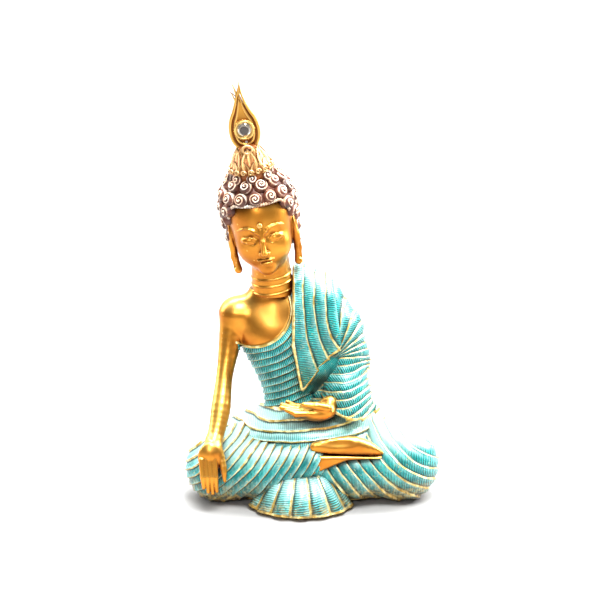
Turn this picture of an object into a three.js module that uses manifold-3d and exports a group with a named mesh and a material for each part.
// Seated earth-touching Buddha figure, cast in parts that are pinned and glued together.
// Millimetres, +Z up, the figure faces -Y, and the four rubber feet stand on z = 0.
import * as THREE from 'three';
import { mergeVertices } from 'three/addons/utils/BufferGeometryUtils.js';
import Module from 'manifold-3d';

const wasm = await Module();
wasm.setup();

// ---------------------------------------------------------------- driving dimensions
const CENTRE = [1.34, -8.17]; // plan centre of the figure, which becomes the origin
const GAP = 0.3;              // clearance between neighbouring pieces
const FEET = 1.5;             // free height of the rubber feet
const PLATE = 2.0;            // thickness of the base plate
const PIN_R = 1.5;            // steel dowel radius
const LEAN = 9;               // head leans to its right, degrees
const BOW = 9;                // head bows forward, degrees
const HEAD = [-31.4, -8, 184]; // middle of the head
const DOME_R = 24.5;           // hair dome without the curls
const CURL_R = 4.4;           // one snail-shell curl
const CROWN_Z = 43;           // foot of the leaf crown above the head middle
const CROWN_H = 17;           // height of the leaf crown
const CROWN_R = [11.5, 7.6];  // leaf crown radius at its foot and at its top
const FLAME = [18.5, 43, 5];   // flame finial: width, height, thickness
const GEM_R = 5;              // set stone
const CLOTH = 3.4;            // thickness of the shoulder drape

const GOLD = { color: 0xd09a38, roughness: 0.34, metalness: 0.9 };
const CLOTH_PAINT = { color: 0x1f9c95, roughness: 0.42, metalness: 0.3 };
const HAIR_PAINT = { color: 0x7a4a38, roughness: 0.6, metalness: 0.15 };
const LEAF_GOLD = { color: 0xe2bd69, roughness: 0.38, metalness: 0.8 };
const GLASS = { color: 0xe8eef2, roughness: 0.05, metalness: 0.1 };
const STEEL = { color: 0x9a9da1, roughness: 0.35, metalness: 1 };
const BOARD = { color: 0x3a2c22, roughness: 0.8, metalness: 0 };
const RUBBER = { color: 0x1c1c1e, roughness: 0.9, metalness: 0 };

// ---------------------------------------------------------------- solids
const V = (p) => new THREE.Vector3(...p);
const RAD = Math.PI / 180;

// Closed geometry to a solid, with doubled points merged and faces turned outward.
function solid(geometry) {
  const bare = new THREE.BufferGeometry();
  bare.setAttribute('position', geometry.getAttribute('position'));
  if (geometry.index) bare.setIndex(geometry.index);
  const merged = mergeVertices(bare, 1e-4);
  const at = merged.getAttribute('position').array;
  const tris = [];
  let volume = 0;
  for (let i = 0; i < merged.index.count; i += 3) {
    const [a, b, c] = [0, 1, 2].map((k) => merged.index.getX(i + k));
    if (a === b || b === c || a === c) continue;
    tris.push([a, b, c]);
    const [p, q, r] = [a, b, c].map((k) => V(at.slice(3 * k, 3 * k + 3)));
    volume += p.dot(q.cross(r));
  }
  const turned = volume < 0 ? tris.map(([a, b, c]) => [a, c, b]) : tris;
  return new wasm.Manifold(new wasm.Mesh({
    numProp: 3,
    vertProperties: new Float32Array(at),
    triVerts: new Uint32Array(turned.flat()),
  }));
}

const join = (...list) => list.reduce((whole, next) => whole.add(next));
const less = (from, ...list) => list.reduce((rest, next) => rest.subtract(next), from);

// Ellipsoid about a centre; `turn` holds Euler angles in degrees.
function ball(centre, radii, grow = 0, turn = [0, 0, 0], round = [14, 8]) {
  const geometry = new THREE.SphereGeometry(1, ...round);
  geometry.scale(...radii.map((r) => r + grow));
  geometry.rotateX(turn[0] * RAD);
  geometry.rotateY(turn[1] * RAD);
  geometry.rotateZ(turn[2] * RAD);
  geometry.translate(...centre);
  return solid(geometry);
}

// Rounded cone from a to b, radius ra tapering to rb.
function limb(a, b, ra, rb, grow = 0, around = 10) {
  const axis = V(b).sub(V(a));
  const length = axis.length();
  const [r0, r1] = [ra + grow, rb + grow];
  const tangent = Math.asin((r0 - r1) / length);
  const steps = Math.max(2, Math.round(around / 5));
  const profile = [];
  for (let i = 0; i <= steps; i += 1) {
    const angle = -Math.PI / 2 + (tangent + Math.PI / 2) * (i / steps);
    profile.push(new THREE.Vector2(i === 0 ? 0 : r0 * Math.cos(angle), r0 * Math.sin(angle)));
  }
  for (let i = 0; i <= steps; i += 1) {
    const angle = tangent + (Math.PI / 2 - tangent) * (i / steps);
    profile.push(new THREE.Vector2(i === steps ? 0 : r1 * Math.cos(angle), length + r1 * Math.sin(angle)));
  }
  const geometry = new THREE.LatheGeometry(profile, around);
  geometry.applyQuaternion(new THREE.Quaternion().setFromUnitVectors(V([0, 1, 0]), axis.normalize()));
  geometry.translate(...a);
  return solid(geometry);
}

// A run of rounded cones through [x, y, z, radius] stations.
function chain(stations, grow = 0, around = 10) {
  const parts = stations.slice(1).map((to, i) => {
    const from = stations[i];
    return limb(from.slice(0, 3), to.slice(0, 3), from[3], to[3], grow, around);
  });
  return join(...parts);
}

// Skin over level elliptical sections given as [x, y, z, half width, half depth].
function loft(sections, grow = 0, around = 28) {
  const points = [];
  const faces = [];
  const last = sections.length - 1;
  sections.forEach(([x, y, z, wide, deep], level) => {
    const lift = level === 0 ? -grow : (level === last ? grow : 0);
    for (let i = 0; i < around; i += 1) {
      const angle = (i / around) * 2 * Math.PI;
      points.push(x + (wide + grow) * Math.cos(angle), y + (deep + grow) * Math.sin(angle), z + lift);
    }
  });
  for (let level = 0; level < last; level += 1) {
    for (let i = 0; i < around; i += 1) {
      const [a, b] = [level * around + i, level * around + ((i + 1) % around)];
      faces.push(a, b, b + around, a, b + around, a + around);
    }
  }
  for (let i = 1; i < around - 1; i += 1) {
    faces.push(0, i + 1, i, last * around, last * around + i, last * around + i + 1);
  }
  const geometry = new THREE.BufferGeometry();
  geometry.setAttribute('position', new THREE.Float32BufferAttribute(points, 3));
  geometry.setIndex(faces);
  return solid(geometry);
}

// Upright turned solid about +Z through [radius, height] stations.
function turned(profile, around = 28) {
  const geometry = new THREE.LatheGeometry(profile.map(([r, z]) => new THREE.Vector2(r, z)), around);
  geometry.rotateX(Math.PI / 2);
  return solid(geometry);
}

// Block between two corners.
function block(low, high) {
  const geometry = new THREE.BoxGeometry(...high.map((h, i) => h - low[i]));
  geometry.translate(...high.map((h, i) => (h + low[i]) / 2));
  return solid(geometry);
}

// Outline in the X-Z plane, run from y = front to y = back.
function panel(outline, front, back) {
  const shape = new THREE.Shape(outline.map(([x, z]) => new THREE.Vector2(x, z)));
  const geometry = new THREE.ExtrudeGeometry(shape, { depth: back - front, bevelEnabled: false });
  geometry.rotateX(Math.PI / 2);
  geometry.translate(0, back, 0);
  return solid(geometry);
}

// Straight dowel between two points and the hole it sits in.
function dowel(a, b, radius = PIN_R) {
  const axis = V(b).sub(V(a));
  const length = axis.length();
  const rod = (r, extra) => {
    const geometry = new THREE.CylinderGeometry(r, r, length + 2 * extra, 16);
    geometry.applyQuaternion(new THREE.Quaternion().setFromUnitVectors(V([0, 1, 0]), axis.clone().normalize()));
    geometry.translate(...V(a).add(V(b)).multiplyScalar(0.5).toArray());
    return solid(geometry);
  };
  return { pin: rod(radius, 0), hole: rod(radius + GAP, GAP) };
}

// ---------------------------------------------------------------- the head's own frame
const headFrame = new THREE.Matrix4()
  .makeTranslation(...HEAD)
  .multiply(new THREE.Matrix4().makeRotationY(-LEAN * RAD))
  .multiply(new THREE.Matrix4().makeRotationX(BOW * RAD));
const onHead = (form) => form.transform(headFrame.elements);
const headPoint = (p) => V(p).applyMatrix4(headFrame).toArray();

// ---------------------------------------------------------------- body forms
const abovePlate = block([-120, -90, FEET], [120, 90, 330]);

// Crossed legs and the cloth gathered over them.
function lapForm(grow = 0) {
  const legs = join(
    chain([[-16, 12, 30, 24], [-60, -21, 22, 22.5], [-48, -27, 19, 16], [4, -38, 25, 12]], grow, 14),
    chain([[16, 12, 32, 25], [62, -19, 23, 23], [48, -26, 20, 16], [-4, -36, 15, 12]], grow, 14),
  );
  const cloth = join(
    ball([-1, -3, 32], [50, 35, 30], grow, [0, 0, 0], [20, 10]),
    ball([-2, 12, 26], [66, 32, 30], grow, [0, 0, 0], [20, 10]),
    ball([2, -14, 44], [32, 24, 18], grow, [0, 0, 0], [16, 8]),
    loft([[0, -3, FEET, 64, 29], [0, -3, 14, 68, 33]], grow, 24),
  );
  return join(legs, cloth).intersect(abovePlate);
}

const torsoSections = [
  [-6, 6, 46, 25, 18],
  [-9, 5, 58, 21, 16],
  [-12, 4, 69, 19, 15],
  [-15, 3, 82, 21, 16],
  [-18, 2, 96, 25, 17.5],
  [-21, 1, 110, 29, 18.5],
  [-22, 2, 121, 31, 17],
  [-24, 3, 129, 26, 14],
  [-26, 3, 135, 17, 12.5],
  [-27, 2, 139, 13.5, 12],
];

function torsoForm(grow = 0) {
  return join(
    loft(torsoSections, grow),
    limb([-24, 3, 125], [-47, 2, 124], 11, 8.5, grow),
    limb([-20, 3, 126], [6, 3, 133], 11, 10, grow),
  );
}

const rightArmForm = (grow = 0) => chain([
  [-51, 1, 124, 10], [-55, -3, 110, 8.2], [-58, -14, 84, 6.6], [-62, -28, 58, 6.2], [-65, -37, 45, 5.2],
], grow);

// Long straight fingers reach down over the shin, the thumb stands apart.
function rightHandForm(grow = 0) {
  const fingers = [-72, -68, -64, -60.5].map((x, i) => {
    const length = [13, 16, 17, 14][i];
    return limb([x + 0.6, -43 - i * 0.5, 34], [x + 1, -45 - i * 0.5, 33 - length], 2.3, 1.7, grow, 6);
  });
  return join(
    limb([-65, -36, 46], [-66, -42, 36], 5.2, 5.6, grow),
    ball([-66, -42.5, 35], [7.6, 4.4, 8], grow, [12, 0, 0], [12, 8]),
    limb([-60, -41, 38], [-55, -43, 27], 2.6, 1.8, grow, 6),
    ...fingers,
  );
}

const armForm = (grow = 0) => join(rightArmForm(grow), rightHandForm(grow));

const sleeveForm = (grow = 0) => join(
  chain([[4, 3, 134, 12], [20, 2, 113, 13.5], [25, 0, 92, 13.5], [24, -10, 76, 12]], grow, 12),
  limb([25, -2, 82], [25, -14, 70], 13, 10, grow, 12),
  limb([24, -6, 74], [39, -8, 63], 11, 3, grow),
);

// Open palm with the fingers pointing across the lap.
function leftHandForm(grow = 0) {
  const fingers = [0, 1, 2, 3].map((i) => {
    const tip = [-16, -19, -18, -14][i];
    return limb([1, -38 + i * 4, 67], [tip, -39 + i * 3.6, 68.5 + i * 0.6], 2.5, 1.8, grow, 6);
  });
  return join(
    limb([22, -20, 71], [12, -29, 69], 5.6, 5.4, grow),
    ball([6, -32, 68], [11, 8.4, 5], grow, [0, 0, 0], [12, 8]),
    limb([8, -37, 71], [-3, -37, 75], 2.8, 2, grow, 6),
    ...fingers,
  );
}

// Sole-up foot on the thigh, toes to the figure's right.
function footForm(grow = 0) {
  const toes = [0, 1, 2, 3, 4].map((i) => limb(
    [6, -44 + i * 3.2, 45 + i], [-1 + i, -44 + i * 3, 45 + i], 2.2, 1.9 + i * 0.12, grow, 8,
  ));
  return join(
    limb([8, -41, 45.5], [42, -36, 41], 6.4, 6.2, grow),
    ball([16, -40, 46], [14, 8.6, 5.6], grow, [0, 6, 6], [12, 8]),
    limb([6, -45, 40], [-2, -46, 31], 4.6, 3.4, grow, 6),
    ...toes,
  );
}

// Fan of cloth spread on the ground in front of the shins.
function apronForm(grow = 0) {
  const fan = ball([-6, -33, 0], [34, 27.5, 27], grow, [0, 0, 0], [26, 16]);
  return fan.intersect(block([-80, -90, FEET], [80, -26, 60]));
}

// ---------------------------------------------------------------- head forms, in the head's frame
function skullForm(grow = 0) {
  return join(
    ball([0, -1, -2], [20, 21, 26], grow, [0, 0, 0], [16, 10]),
    ball([0, 4, 10], [22.5, 23, 22], grow, [0, 0, 0], [16, 10]),
    ball([0, -12, -14], [13, 9, 11], grow, [0, 0, 0], [12, 8]),
  );
}

function faceFeatures() {
  const eyes = [-8, 8].map((x) => ball([x, -18.6, 2], [5, 3, 2.6], 0, [0, 0, 0], [12, 8]));
  const ears = [-1, 1].flatMap((side) => [
    ball([21.5 * side, 1, -2], [2.6, 6, 10], 0, [0, 8 * side, 0], [12, 10]),
    limb([21 * side, 0, -8], [20 * side, -2, -26], 2.8, 2.3, 0, 8),
  ]);
  return join(
    limb([0, -20, 6], [0, -23.4, -5], 1.8, 3, 0, 8),
    ball([0, -20.4, -12], [5.6, 3, 2.2], 0, [0, 0, 0], [12, 8]),
    ball([0, -18, -20], [5, 4, 4], 0, [0, 0, 0], [12, 8]),
    ...eyes,
    ...ears,
  );
}

// Hair dome and its top knot, bounded by a hairline over the brow and behind the ears.
function hairDome(grow = 0) {
  const dome = ball([0, 3, 13], [DOME_R, DOME_R, DOME_R], grow, [0, 0, 0], [18, 12]);
  const knot = ball([0, 3, 34], [14, 14, 12], grow, [0, 0, 0], [14, 8]);
  const nape = ball([0, 8, -4], [DOME_R - 2.4, DOME_R - 6, DOME_R - 3], grow, [0, 0, 0], [14, 10]);
  const brow = block([-60, -60, -60], [60, 0.6, 17 - grow]);
  return less(join(dome, knot, nape), brow, block([-60, -60, -60], [60, 60, -16 - grow]));
}

// One level ring of snail-shell curls.
function curlRing(reach, height, offset) {
  const count = Math.floor((2 * Math.PI * reach) / (2 * CURL_R + 2.2));
  return Array.from({ length: count }, (_, i) => {
    const angle = ((i + offset) / count) * 2 * Math.PI;
    const geometry = new THREE.IcosahedronGeometry(CURL_R + 0.5);
    geometry.translate(reach * Math.cos(angle), 3 + reach * Math.sin(angle), height);
    return solid(geometry);
  });
}

function curls() {
  const rings = [20, 35, 50, 65].map((rise, row) => {
    const angle = rise * RAD;
    return curlRing(DOME_R * Math.cos(angle), 13 + DOME_R * Math.sin(angle), (row % 2) / 2);
  });
  const nape = [2.5, -5.5].flatMap((height) => Array.from({ length: 9 }, (_, i) => {
    const angle = ((i + 0.5) / 9) * Math.PI;
    const geometry = new THREE.IcosahedronGeometry(CURL_R + 0.5);
    geometry.translate(21 * Math.cos(angle), 7 + 17 * Math.sin(angle), height);
    return solid(geometry);
  }));
  return join(...rings.flat(), ...curlRing(12, 40, 0), ...nape);
}

function crownForm(grow = 0) {
  const [low, high] = CROWN_R;
  const tiers = 3;
  const profile = [[0, CROWN_Z - 5 - grow]];
  for (let tier = 0; tier < tiers; tier += 1) {
    const part = tier / tiers;
    const radius = low + (high - low) * part + grow;
    const base = CROWN_Z + CROWN_H * part;
    profile.push([radius + 0.6, base - (tier ? 0 : 5 + grow)]);
    profile.push([radius + 0.2, base + CROWN_H / tiers - 3]);
    profile.push([radius - 2.2, base + CROWN_H / tiers]);
  }
  profile.push([0, CROWN_Z + CROWN_H + grow]);
  return turned(profile);
}

const FLAME_FOOT = CROWN_Z + CROWN_H - 3;

// Pointed teardrop with a full lower half.
function flameOutline(grow = 0) {
  const [width, height] = FLAME;
  const half = width / 2 + grow;
  const shape = new THREE.Shape();
  shape.moveTo(0, -grow);
  shape.bezierCurveTo(half * 1.1, 0, half * 1.35, height * 0.34, half * 0.72, height * 0.58);
  shape.bezierCurveTo(half * 0.4, height * 0.74, 1.6, height * 0.84, 0.8, height + grow);
  shape.lineTo(-0.8, height + grow);
  shape.bezierCurveTo(-1.6, height * 0.84, -half * 0.4, height * 0.74, -half * 0.72, height * 0.58);
  shape.bezierCurveTo(-half * 1.35, height * 0.34, -half * 1.1, 0, 0, -grow);
  return shape;
}

function flameForm(grow = 0) {
  const depth = FLAME[2] + 2 * grow;
  const geometry = new THREE.ExtrudeGeometry(flameOutline(grow), {
    depth, bevelEnabled: false, curveSegments: 10,
  });
  geometry.rotateX(Math.PI / 2);
  geometry.translate(0, depth / 2, FLAME_FOOT);
  return solid(geometry);
}

const GEM_Z = FLAME_FOOT + 13.5;
const frontTurned = (profile, y, around) => {
  const form = turned(profile, around).transform(new THREE.Matrix4().makeRotationX(Math.PI / 2).elements);
  return form.transform(new THREE.Matrix4().makeTranslation(0, y, GEM_Z).elements);
};
const bezelForm = (grow = 0) => frontTurned(
  [[0, -grow], [GEM_R + 1.5 + grow, -grow], [GEM_R + 1.5 + grow, 2], [GEM_R + 0.9, 3.2], [0, 3.2]], -0.8, 24,
);
const gemForm = (grow = 0) => frontTurned(
  [[0, -grow], [GEM_R + grow, 0.6], [GEM_R + grow, 1.6], [GEM_R * 0.55, 3.2], [0, 3.2]], -2, 12,
);

// ---------------------------------------------------------------- dowels
const neckPin = dowel([-26, 2, 128], [-28.2, 0, 152], 2.2);
const waistPins = [dowel([-16, 6, 34], [-16, 6, 60], 2.2), dowel([2, 6, 34], [2, 6, 60], 2.2)];
const shoulderPin = dowel([-36, 2, 121], [-52, 1.5, 120], PIN_R);
const wristPin = dowel([29, -14, 72], [12, -29, 69], PIN_R);
const footPin = dowel([26, -40, 44], [26, -29, 31], PIN_R);
const apronPins = [-20, 8].map((x) => dowel([x, -52, 8], [x, -38, 12], PIN_R));
const crownPin = dowel(headPoint([0, 2, 22]), headPoint([0, 1, CROWN_Z + 6]), 2);
const flamePin = dowel(headPoint([0, 0, CROWN_Z + 9]), headPoint([0, 0, FLAME_FOOT + 5.5]), 1.2);

// ---------------------------------------------------------------- castings
const neckForm = (grow = 0) => join(
  limb([-26, 2, 139], [-30, -3, 168], 12.6, 12.4, grow, 16),
  ...[146, 152, 158].map((z, i) => ball([-27.4 - i, 0.6 - i, z], [13.4, 13.2, 2.4], grow, [0, 0, 0], [16, 6])),
).intersect(block([-80, -60, 139 + GAP - grow], [60, 60, 200]));

const hairSolid = onHead(join(hairDome(), curls()));
const crownSolid = onHead(crownForm());
const flameSolid = onHead(flameForm());
const bezelSolid = onHead(bezelForm());
const gemSolid = onHead(gemForm());
const urna = onHead(ball([0, -22.4, 9.5], [1.6, 1.4, 1.6], 0, [0, 0, 0], [12, 8]));
const urnaSeat = onHead(ball([0, -22.4, 9.5], [1.6, 1.4, 1.6], GAP, [0, 0, 0], [12, 8]));

const head = less(
  join(onHead(join(skullForm(), faceFeatures())), neckForm()),
  onHead(hairDome(GAP)),
  urnaSeat,
  neckPin.hole,
  crownPin.hole,
);
const hair = less(hairSolid, head, onHead(skullForm(GAP)), onHead(crownForm(GAP)), crownPin.hole);
const crown = less(crownSolid, onHead(flameForm(GAP)), crownPin.hole, flamePin.hole);
const flame = less(flameSolid, onHead(bezelForm(GAP)), flamePin.hole);
const bezel = less(bezelSolid, onHead(gemForm(GAP)), flamePin.hole);

// The drape lies on the torso from the left shoulder down to its pointed hem.
const drapeOutline = [
  [-11.5, 165], [-11.5, 96], [-8, 76], [-5, 66], [-1, 63], [6, 76], [14, 86], [24, 98], [30, 165],
];
const drape = less(
  join(torsoForm(CLOTH), limb([-9, 5, 146], [6, 4, 140], 8, 9)).intersect(panel(drapeOutline, -40, 14)),
  torsoForm(GAP),
  sleeveForm(GAP),
  neckForm(GAP),
  lapForm(GAP),
  leftHandForm(GAP),
);

const torso = less(
  torsoForm().intersect(block([-90, -60, 46], [60, 60, 139])),
  armForm(GAP),
  sleeveForm(GAP),
  neckPin.hole,
  shoulderPin.hole,
  ...waistPins.map((pin) => pin.hole),
);

const platePockets = [[-38, -18], [38, -18], [-30, 12], [30, 12]];
const plateForm = (grow) => loft([
  [0, -4, FEET - grow, 58 + grow, 27 + grow],
  [0, -4, FEET + PLATE + grow, 58 + grow, 27 + grow],
]);
const footPad = (x, y, grow) => loft([
  [x, y, -grow, 6 + grow, 6 + grow],
  [x, y, FEET + 0.7 + grow, 6 + grow, 6 + grow],
], 0, 20);

const lap = less(
  lapForm(),
  torsoForm(GAP),
  armForm(GAP),
  sleeveForm(GAP),
  leftHandForm(GAP),
  footForm(GAP),
  plateForm(GAP),
  footPin.hole,
  ...apronPins.map((pin) => pin.hole),
  ...waistPins.map((pin) => pin.hole),
);
const apron = less(apronForm(), lapForm(GAP), footForm(GAP), ...apronPins.map((pin) => pin.hole));
const arm = less(armForm(), shoulderPin.hole);
const sleeve = less(sleeveForm(), leftHandForm(GAP), wristPin.hole);
const hand = less(leftHandForm(), wristPin.hole);
const foot = less(footForm(), footPin.hole);
const plate = less(plateForm(0), ...platePockets.map(([x, y]) => footPad(x, y, GAP)));

// ---------------------------------------------------------------- assembly
const group = new THREE.Group();
group.name = 'seated_buddha_statue';

// Adds one named piece, keeping its single main body.
function piece(name, form, paint) {
  const bodies = form.decompose().sort((a, b) => b.volume() - a.volume());
  const { vertProperties, triVerts } = bodies[0].getMesh();
  const geometry = new THREE.BufferGeometry();
  geometry.setAttribute('position', new THREE.Float32BufferAttribute(vertProperties, 3));
  geometry.setIndex([...triVerts]);
  geometry.translate(-CENTRE[0], -CENTRE[1], 0);
  geometry.computeVertexNormals();
  const mesh = new THREE.Mesh(geometry, new THREE.MeshStandardMaterial(paint));
  mesh.name = name;
  group.add(mesh);
}

piece('lap_casting', lap, CLOTH_PAINT);
piece('front_apron', apron, CLOTH_PAINT);
piece('torso_casting', torso, CLOTH_PAINT);
piece('shoulder_drape', drape, CLOTH_PAINT);
piece('left_sleeve', sleeve, CLOTH_PAINT);
piece('left_hand', hand, GOLD);
piece('right_arm', arm, GOLD);
piece('right_foot', foot, GOLD);
piece('head_casting', head, GOLD);
piece('hair_cap', hair, HAIR_PAINT);
piece('leaf_crown', crown, LEAF_GOLD);
piece('flame_finial', flame, LEAF_GOLD);
piece('gem_bezel', bezel, GOLD);
piece('finial_gem', gemSolid, GLASS);
piece('urna_bead', urna, LEAF_GOLD);
piece('neck_pin', neckPin.pin, STEEL);
waistPins.forEach((pin, i) => piece(`waist_pin_${['right', 'left'][i]}`, pin.pin, STEEL));
piece('shoulder_pin', shoulderPin.pin, STEEL);
piece('wrist_pin', wristPin.pin, STEEL);
piece('foot_pin', footPin.pin, STEEL);
apronPins.forEach((pin, i) => piece(`apron_pin_${['right', 'left'][i]}`, pin.pin, STEEL));
piece('crown_pin', crownPin.pin, STEEL);
piece('flame_pin', flamePin.pin, STEEL);
piece('base_plate', plate, BOARD);
platePockets.forEach(([x, y], i) => {
  const side = `${y < 0 ? 'front' : 'back'}_${x < 0 ? 'right' : 'left'}`;
  piece(`rubber_foot_${side}`, footPad(x, y, 0), RUBBER);
});

export default group;
